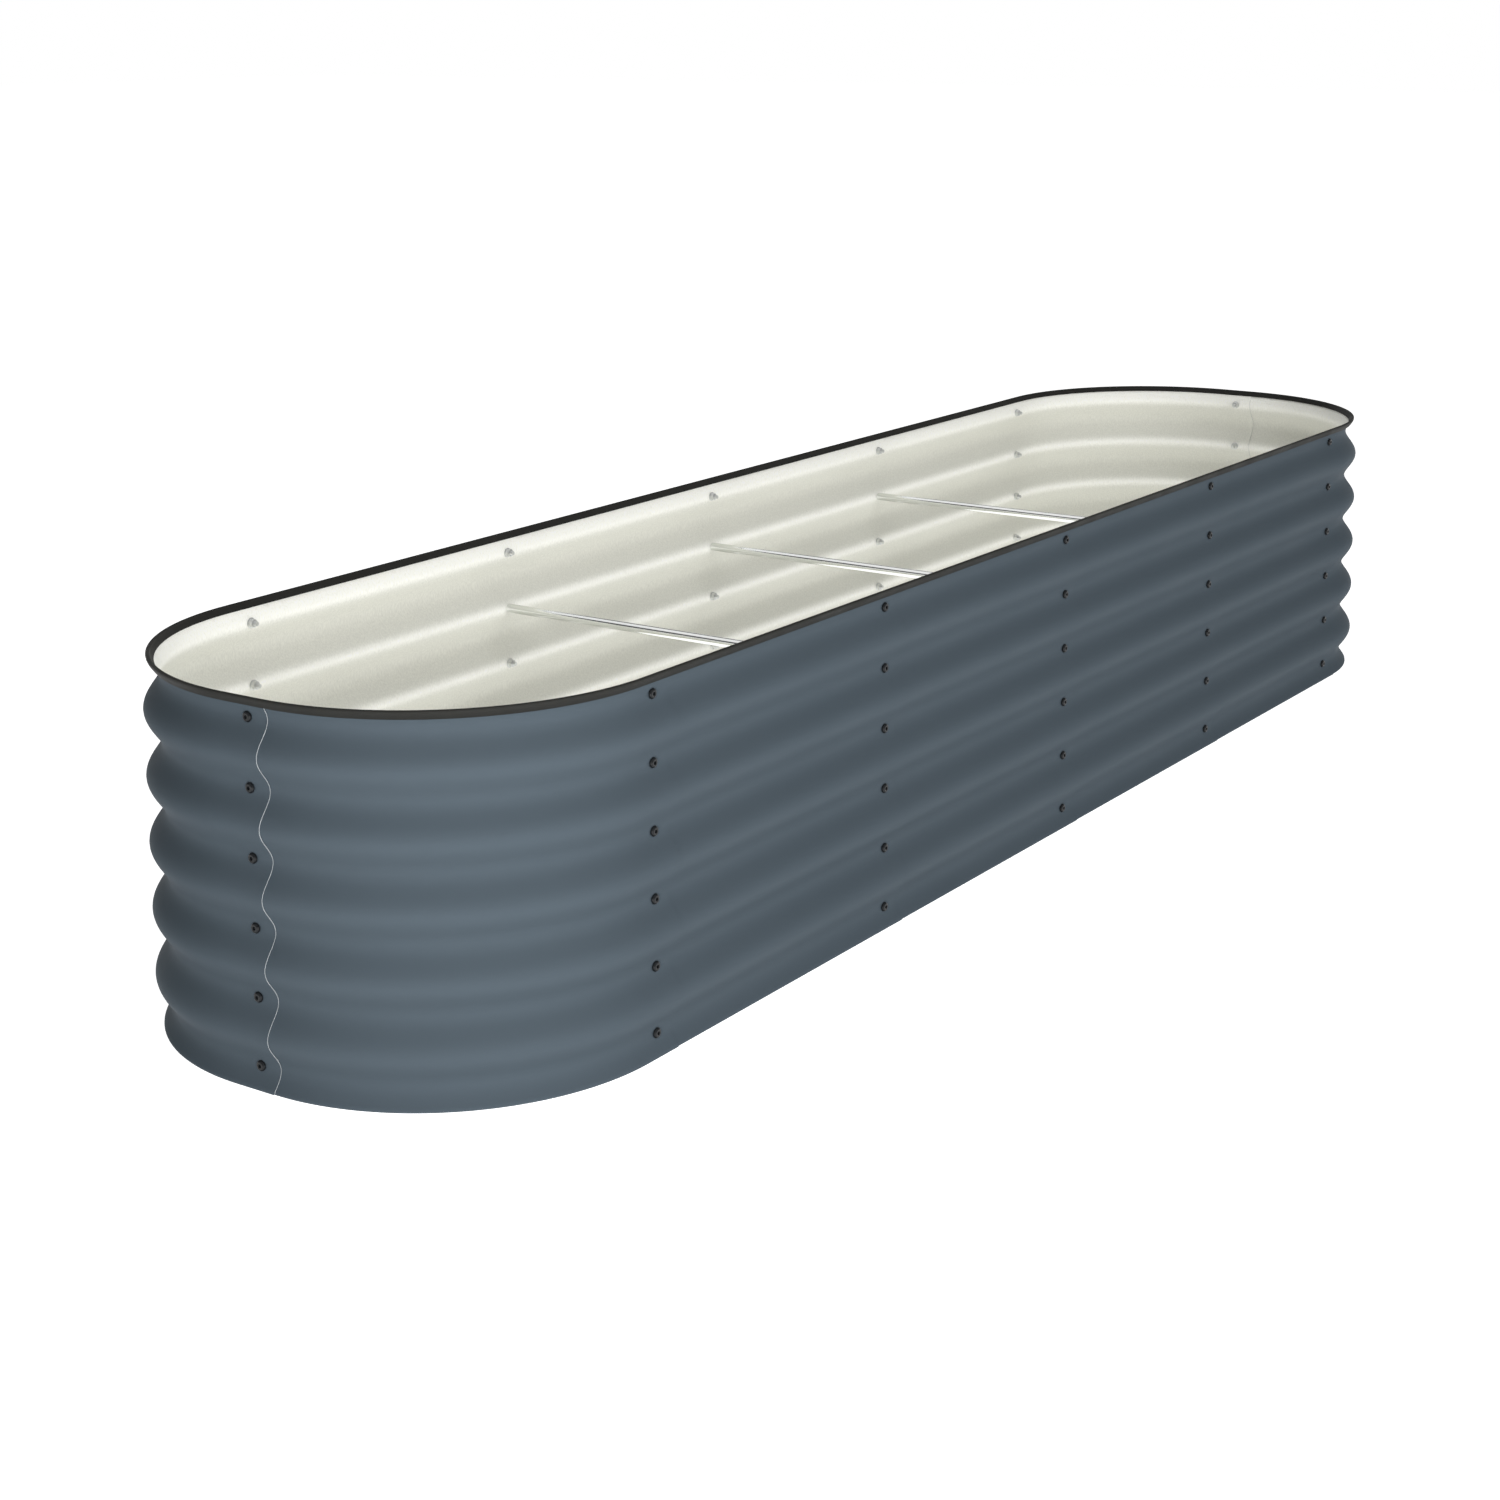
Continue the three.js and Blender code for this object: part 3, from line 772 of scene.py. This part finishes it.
def crest_highlight_group():
    """Where the painted highlight goes: along the inside crests of the wave, which are at the rows, and all
    over the sheet above the top row. It is the cosine of the wave's turn, where it is above 0, to the power
    of the sharpness."""
    name = "Crests"
    if name in bpy.data.node_groups:
        return bpy.data.node_groups[name]
    group, given, result = new_group(
        name,
        {"Place": ("NodeSocketVector", None), "Sharpness": ("NodeSocketFloat", 6.0)},
        {"Mask": "NodeSocketFloat"},
    )
    height = add(group, "ShaderNodeSeparateXYZ", {"Vector": given["Place"]}).outputs["Z"]
    below = calculate(group, "MINIMUM", calculate(group, "SUBTRACT", height, TOP_ROW), 0.0)
    wave = calculate(group, "COSINE", calculate(group, "MULTIPLY", below, 2 * math.pi / WAVE_PITCH))
    positive = add(group, "ShaderNodeClamp", {"Value": wave}).outputs[0]
    group.links.new(calculate(group, "POWER", positive, given["Sharpness"]), result["Mask"])
    return group


def new_material(name):
    """An empty material with its node tree."""
    material = bpy.data.materials.new(name)
    material.use_nodes = True
    material.node_tree.nodes.clear()
    return material, material.node_tree


def coated(name, base, *, spots, strength, gloss, patch, relief, metallic=0.0, specular=0.5, crest=None):
    """A finish with mottle in its colour and its surface, and patches in its gloss.

    base is its colour, and crest a lighter colour painted on as a highlight along the inside crests of
    the wave and above the top row, if given. spots is the size of the mottle's spots, strength their contrast
    and relief their depth. gloss is the roughness, from low to high, and patch the size of its patches."""
    if name in bpy.data.materials:
        return bpy.data.materials[name]
    material, tree = new_material(name)
    where = add(tree, "ShaderNodeTexCoord").outputs["Object"]
    color = (*base, 1)
    # The crest colour is a painted highlight, mixed in along the inside crests and above the top row
    if crest is not None:
        mask = add(tree, "ShaderNodeGroup", {"Place": where}, node_tree=crest_highlight_group()).outputs["Mask"]
        colors = {MIX_SHARE: mask, MIX_FIRST: color, MIX_SECOND: (*crest, 1)}
        color = add(tree, "ShaderNodeMix", colors, data_type="RGBA").outputs[MIX_RESULT]
    mottle = add(
        tree,
        "ShaderNodeGroup",
        {"Place": where, "Spot Size": spots, "Color": color, "Strength": strength},
        node_tree=mottle_group(),
    )
    patches = add(
        tree,
        "ShaderNodeGroup",
        {"Place": where, "Patch Size": patch, "Low": gloss[0], "High": gloss[1]},
        node_tree=patches_group(),
    )
    bump = add(tree, "ShaderNodeBump", {"Height": mottle.outputs["Height"], "Distance": relief})
    surface = add(
        tree,
        "ShaderNodeBsdfPrincipled",
        {
            "Base Color": mottle.outputs["Color"],
            "Roughness": patches.outputs["Value"],
            "Normal": bump.outputs["Normal"],
            "Metallic": metallic,
            "Specular IOR Level": specular,
        },
    )
    add(tree, "ShaderNodeOutputMaterial", {"Surface": surface.outputs["BSDF"]})
    return material


def slate_paint(finish):
    """Matt slate paint with a faint orange peel."""
    return coated(
        "slate_paint",
        finish.outside,
        spots=(1.6 * MM,) * 3,
        strength=0.05,
        gloss=(0.55, 0.65),
        patch=150 * MM,
        relief=0.02 * MM,
        specular=0.03,
    )


def cream_coat(finish):
    """A thin matt cream coat, which the coating rollers left in fine upright streaks, with a painted
    highlight along the inside crests of the wave and over the sheet above the top row."""
    return coated(
        "cream_coat",
        finish.inside,
        spots=(1.6 * MM, 1.6 * MM, 5 * MM),
        strength=0.36,
        gloss=(0.45, 0.55),
        patch=100 * MM,
        relief=0.03 * MM,
        specular=0.25,
        # The crest colour is a painted highlight
        crest=finish.inside_crest_highlight,
    )


def cut_steel(finish):
    """The sheet's sheared edge, bare under its zinc."""
    return coated(
        "cut_steel",
        finish.cut_edge,
        spots=(0.5 * MM,) * 3,
        strength=0.2,
        gloss=(0.4, 0.55),
        patch=10 * MM,
        relief=0.02 * MM,
    )


def trim_rubber(finish):
    """Matt black rubber with a fine extruded grain."""
    return coated(
        "trim_rubber",
        finish.rubber,
        spots=(0.8 * MM,) * 3,
        strength=0.25,
        gloss=(0.55, 0.7),
        patch=50 * MM,
        relief=0.02 * MM,
        specular=0.15,
    )


def black_coat(finish):
    """The black coat of the bolts' heads, nearly smooth."""
    return coated(
        "black_coat",
        finish.bolt,
        spots=(0.6 * MM,) * 3,
        strength=0.3,
        gloss=(0.25, 0.4),
        patch=4 * MM,
        relief=0.01 * MM,
        specular=0.3,
    )


def zinc_plate(finish):
    """Bright zinc plate, slightly clouded."""
    return coated(
        "zinc_plate",
        finish.zinc,
        spots=(0.8 * MM,) * 3,
        strength=0.2,
        gloss=(0.08, 0.16),
        patch=4 * MM,
        relief=0.01 * MM,
        metallic=1.0,
    )


def polished_steel(finish):
    """Bright drawn steel with faint lines along the rod."""
    return coated(
        "polished_steel",
        finish.rod,
        spots=(0.4 * MM, 60 * MM, 0.4 * MM),
        strength=0.06,
        gloss=(0.06, 0.12),
        patch=80 * MM,
        relief=0.002 * MM,
        metallic=1.0,
    )


# Pieces ---------------------------------------------------------------------------------------------------


def add_piece(name, surface, materials, nodes=(), crease=35):
    """A mesh from a surface, smooth but for creases sharper than so many degrees. It rides on the bed and
    stands for its CAD nodes."""
    faces = [face for part in surface.faces for face in part.tolist()]
    mesh = bpy.data.meshes.new(name)
    mesh.from_pydata(surface.points.tolist(), [], faces)
    for material in materials:
        mesh.materials.append(material)
    if surface.finish is not None:
        mesh.polygons.foreach_set("material_index", surface.finish.astype(np.int32))
    if surface.flat is not None:
        corners = np.empty(len(mesh.loops), dtype=np.int32)
        mesh.loops.foreach_get("vertex_index", corners)
        layer = mesh.uv_layers.new(name="Flat Sheet")
        layer.data.foreach_set("uv", surface.flat[corners].astype(np.float32).ravel())
    mesh.shade_smooth()
    mesh.set_sharp_from_angle(angle=math.radians(crease))
    mesh.update()
    piece = bpy.data.objects.new(name, mesh)
    bpy.context.scene.collection.objects.link(piece)
    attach(piece, BODY)
    if nodes:
        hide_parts(*nodes)
    return piece


def nodes_at(place, word):
    """The CAD nodes whose name holds a word and whose middle lies within a bolt's length of a place."""
    named = [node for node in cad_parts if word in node]
    return [node for node in named if np.linalg.norm(np.array(middle_of(node)) - place) < BRACE_BOLT]


def is_bent(number):
    """Whether the panel that starts at a column goes round a corner."""
    return is_side(COLUMNS[number]) != is_side(COLUMNS[(number + 1) % len(COLUMNS)])


def make_panels(settings, bent):
    """The straight or the bent panels."""
    finish = settings.finish
    materials = [slate_paint(finish), cream_coat(finish), cut_steel(finish)]
    for number, column in enumerate(COLUMNS):
        if is_bent(number) == bent:
            surface = panel_surface(settings.sheet, column, bent, number * COLUMN_SPACING)
            node = PANEL_NODES[number]
            add_piece(f"{node}_sheet", surface, materials, [node])


def fasten(surface, column, row, out):
    """Moves a fastener to its bolt's place, so far out of the wall's middle, and gives that place on the
    middle."""
    height = ROW_HEIGHTS[row - 1]
    surface.points = in_column(column, surface.points + [out, 0, height])
    return in_column(column, np.array([0, 0, height]))


def under_head(surface):
    """1 for a bolt's faces below its head's underside, and 0 for the head's."""
    middles = [surface.points[part, 0].mean(axis=1) for part in surface.faces]
    return (np.concatenate(middles) < 0).astype(int)


def bolt_places():
    """Every bolt's label, column and row, whether it carries a rod, and the turn that it was left at when it
    was tightened. The turns are steps of the golden angle, which never line up."""
    golden = math.pi * (3 - math.sqrt(5))
    for number, column in enumerate(COLUMNS):
        for row in range(1, ROWS + 1):
            carries_rod = is_braced(column) and row == ROD_ROW
            yield f"{number + 1}_{row}", column, row, carries_rod, golden * (number * ROWS + row)


class BED_OT_side_panels(Operator):
    """Make the eight straight corrugated panels"""

    bl_idname = "garden_bed.side_panels"
    bl_label = "Side Panels"

    def execute(self, context):
        make_panels(context.scene.garden_bed, bent=False)
        return {"FINISHED"}


class BED_OT_corner_panels(Operator):
    """Make the four corrugated panels of the round ends"""

    bl_idname = "garden_bed.corner_panels"
    bl_label = "Corner Panels"

    def execute(self, context):
        make_panels(context.scene.garden_bed, bent=True)
        return {"FINISHED"}


class BED_OT_edge_trim(Operator):
    """Make the rubber channel on the top edge"""

    bl_idname = "garden_bed.edge_trim"
    bl_label = "Edge Trim"

    def execute(self, context):
        settings = context.scene.garden_bed
        surface = trim_surface(settings.sheet, settings.trim)
        add_piece("edge_trim_channel", surface, [trim_rubber(settings.finish)], ["edge_trim"])
        return {"FINISHED"}


class BED_OT_brace_rods(Operator):
    """Make the three rods across the bed"""

    bl_idname = "garden_bed.brace_rods"
    bl_label = "Brace Rods"

    def execute(self, context):
        settings = context.scene.garden_bed
        steel = polished_steel(settings.finish)
        for number in range(1, SIDE_PANELS):
            surface = turned(*rod_profile(settings.rod))
            across = (COLUMNS[number][0], 0.0, 0.0)
            surface.points = in_column(across, surface.points + [0, 0, ROW_HEIGHTS[ROD_ROW - 1]])
            node = f"brace_rod_{number}"
            add_piece(f"{node}_bar", surface, [steel], [node])
        return {"FINISHED"}


class BED_OT_bolts(Operator):
    """Make the black-headed bolts, with a longer one at each end of a rod"""

    bl_idname = "garden_bed.bolts"
    bl_label = "Bolts"

    def execute(self, context):
        settings = context.scene.garden_bed
        fastener = settings.fastener
        finishes = [black_coat(settings.finish), zinc_plate(settings.finish)]
        seat = HEAD_TOP - fastener.head_height
        for label, column, row, carries_rod, turn in bolt_places():
            shank = (BRACE_BOLT if carries_rod else PANEL_BOLT) - fastener.head_height
            surface = turned(*bolt_profile(fastener, shank, turn))
            surface.finish = under_head(surface)
            place = fasten(surface, column, row, seat)
            add_piece(f"bolt_{label}", surface, finishes, nodes_at(place, "bolt"))
        return {"FINISHED"}


class BED_OT_nuts(Operator):
    """Make the flange nuts on the panel bolts"""

    bl_idname = "garden_bed.nuts"
    bl_label = "Nuts"

    def execute(self, context):
        settings = context.scene.garden_bed
        plate = zinc_plate(settings.finish)
        for label, column, row, carries_rod, turn in bolt_places():
            if not carries_rod:
                surface = turned(*nut_profile(settings.fastener, 2 * turn), closed=True)
                place = fasten(surface, column, row, -NUT_SEAT)
                add_piece(f"nut_{label}", surface, [plate], nodes_at(place, "nut"))
        return {"FINISHED"}


# Stage ----------------------------------------------------------------------------------------------------

CAMERA_PLACE = (-3.08076, -1.88739, 1.12300)
CAMERA_HEADING = math.radians(-56.5131)  # of the camera's right-hand side, from +X
CAMERA_TILT = math.radians(80.3258)  # from straight down
CAMERA_ROLL = math.radians(-0.22356)
PICTURE_SIZE = 1500  # pixels
FOCAL_PIXELS = 2572.53
CENTRE_PIXEL = (791.724, 446.384)  # where the camera's axis meets the picture
SENSOR = 36.0  # millimetres, as a camera's are given
CLIP_END = 200.0

# Each lamp's place, the point that it is aimed at, and its width. The key lamp stands low and close to the
# left end, so that the far end falls darker.
KEY_LAMP = ((-2.6, -1.2, 0.4), (-1.1, -0.1, 0.2), 0.8)
FRONT_LAMP = ((-1.0, -4.8, 1.8), (-0.2, 0.0, 0.3), 3.5)
TOP_LAMP = ((0.0, 0.0, 4.0), (0.0, 0.001, 0.0), 4.0)

FLOOR_DROP = 0.2 * MM  # of the floor below the bed, so that no two faces coincide
FLOOR_PAINT = (0.9, 0.9, 0.9, 1.0)
WHITE = (1.0, 1.0, 1.0, 1.0)
BACKDROP = ((0.26, 1.0), (0.3, 0.1), (0.62, 0.1), (0.7, 0.85))  # (sine of the angle up, brightness)


def make_camera():
    """The camera of the photograph. Its view is shifted, because the picture is a crop."""
    camera = bpy.data.objects.new("camera", bpy.data.cameras.new("camera"))
    turn = Matrix.Rotation(CAMERA_HEADING, 4, "Z") @ Matrix.Rotation(CAMERA_TILT, 4, "X")
    camera.matrix_world = Matrix.Translation(CAMERA_PLACE) @ turn @ Matrix.Rotation(CAMERA_ROLL, 4, "Z")
    camera.data.sensor_width = SENSOR
    camera.data.lens = SENSOR * FOCAL_PIXELS / PICTURE_SIZE
    camera.data.shift_x = 0.5 - CENTRE_PIXEL[0] / PICTURE_SIZE
    camera.data.shift_y = CENTRE_PIXEL[1] / PICTURE_SIZE - 0.5
    camera.data.clip_end = CLIP_END
    bpy.context.scene.collection.objects.link(camera)
    bpy.context.scene.camera = camera


def make_lamp(name, watts, place, aim, size):
    """A square soft lamp, which isn't mirrored in the metal."""
    data = bpy.data.lights.new(name, "AREA")
    data.energy = watts
    data.size = size
    lamp = bpy.data.objects.new(name, data)
    way = Vector(aim) - Vector(place)
    lamp.matrix_world = Matrix.Translation(place) @ way.to_track_quat("-Z", "Y").to_matrix().to_4x4()
    lamp.visible_camera = False
    lamp.visible_glossy = False
    bpy.context.scene.collection.objects.link(lamp)


def shown_to_lens(tree):
    """1 for rays that show the background itself: from the camera, by reflection or through glass."""
    path = add(tree, "ShaderNodeLightPath").outputs
    either = calculate(tree, "MAXIMUM", path["Is Camera Ray"], path["Is Glossy Ray"])
    return calculate(tree, "MAXIMUM", either, path["Is Transmission Ray"])


def make_world(stage):
    """Light from all round, and the backdrop behind it. At z, the sine of the height above the horizon, the
    light is sky * 4 z (1 - z), so most comes from about 30 degrees up. The backdrop is white, but for a dark
    band from about 17 to 40 degrees up, which the metal mirrors."""
    world = bpy.data.worlds.new("studio")
    world.use_nodes = True
    tree = world.node_tree
    tree.nodes.clear()
    direction = add(tree, "ShaderNodeTexCoord").outputs["Generated"]
    height = add(tree, "ShaderNodeSeparateXYZ", {"Vector": direction}).outputs["Z"]
    above = add(tree, "ShaderNodeClamp", {"Value": height}).outputs[0]
    rest = calculate(tree, "SUBTRACT", 1.0, above)
    rise = calculate(tree, "MULTIPLY", above, 4 * stage.sky)
    strength = calculate(tree, "MULTIPLY", rise, rest)
    light = add(tree, "ShaderNodeBackground", {"Color": WHITE, "Strength": strength})
    shade = add(tree, "ShaderNodeValToRGB", {"Fac": above})
    shade.color_ramp.elements[0].color = WHITE
    for place, value in BACKDROP:
        shade.color_ramp.elements.new(place).color = (value, value, value, 1)
    backdrop = add(tree, "ShaderNodeBackground", {"Color": shade.outputs["Color"], "Strength": 1.0})
    either = {0: shown_to_lens(tree), 1: light.outputs[0], 2: backdrop.outputs[0]}
    both = add(tree, "ShaderNodeMixShader", either)
    add(tree, "ShaderNodeOutputWorld", {"Surface": both.outputs[0]})
    bpy.context.scene.world = world


def floor_white(stage):
    """White floor. It lights the bed from below, and what the lens sees of it is lifted to the backdrop's
    white, with a faint shadow left."""
    material, tree = new_material("floor_white")
    body = add(tree, "ShaderNodeBsdfDiffuse", {"Color": FLOOR_PAINT})
    path = add(tree, "ShaderNodeLightPath").outputs
    lift = calculate(tree, "MULTIPLY", shown_to_lens(tree), stage.floor_lift)
    strength = calculate(tree, "MULTIPLY_ADD", path["Is Diffuse Ray"], stage.floor_bounce, lift)
    glow = add(tree, "ShaderNodeEmission", {"Color": WHITE, "Strength": strength})
    both = add(tree, "ShaderNodeAddShader", {0: body.outputs[0], 1: glow.outputs[0]})
    add(tree, "ShaderNodeOutputMaterial", {"Surface": both.outputs[0]})
    return material


def make_floor(stage):
    """A flat square floor under the bed."""
    half = stage.floor_size / 2
    corners = [(-half, -half), (half, -half), (half, half), (-half, half)]
    mesh = bpy.data.meshes.new("floor")
    mesh.from_pydata([(x, y, -FLOOR_DROP) for x, y in corners], [], [(0, 1, 2, 3)])
    mesh.materials.append(floor_white(stage))
    floor = bpy.data.objects.new("floor", mesh)
    bpy.context.scene.collection.objects.link(floor)


class BED_OT_stage(Operator):
    """Make the floor, the light and the photograph's camera"""

    bl_idname = "garden_bed.stage"
    bl_label = "Stage"

    def execute(self, context):
        stage = context.scene.garden_bed.stage
        make_camera()
        make_lamp("key_lamp", stage.key_power, *KEY_LAMP)
        make_lamp("front_lamp", stage.front_power, *FRONT_LAMP)
        make_lamp("top_lamp", stage.top_power, *TOP_LAMP)
        make_world(stage)
        make_floor(stage)
        context.scene.view_settings.view_transform = "Standard"
        return {"FINISHED"}


# Add-on ---------------------------------------------------------------------------------------------------

STEPS = (
    BED_OT_side_panels,
    BED_OT_corner_panels,
    BED_OT_edge_trim,
    BED_OT_brace_rods,
    BED_OT_bolts,
    BED_OT_nuts,
    BED_OT_stage,
)


class BED_PT_garden_bed(Panel):
    """The bed's settings and the steps that make it"""

    bl_idname = "BED_PT_garden_bed"
    bl_label = "Raised Garden Bed"
    bl_space_type = "VIEW_3D"
    bl_region_type = "UI"
    bl_category = "Garden Bed"

    def draw(self, context):
        settings = context.scene.garden_bed
        for kind in ("sheet", "fastener", "trim", "rod", "finish", "stage"):
            group = getattr(settings, kind)
            box = self.layout.box()
            for name in group.bl_rna.properties.keys():
                if name not in ("rna_type", "name"):
                    box.prop(group, name)
        for step in STEPS:
            self.layout.operator(step.bl_idname)


CLASSES = (
    SheetSettings,
    FastenerSettings,
    TrimSettings,
    RodSettings,
    FinishSettings,
    StageSettings,
    BedSettings,
    *STEPS,
    BED_PT_garden_bed,
)


def register():
    for made in CLASSES:
        bpy.utils.register_class(made)
    bpy.types.Scene.garden_bed = PointerProperty(type=BedSettings)


def unregister():
    del bpy.types.Scene.garden_bed
    for made in reversed(CLASSES):
        bpy.utils.unregister_class(made)


def main():
    register()
    bpy.ops.garden_bed.side_panels()
    bpy.ops.garden_bed.corner_panels()
    bpy.ops.garden_bed.edge_trim()
    bpy.ops.garden_bed.brace_rods()
    bpy.ops.garden_bed.bolts()
    bpy.ops.garden_bed.nuts()
    bpy.ops.garden_bed.stage()


if __name__ == "__main__":
    main()
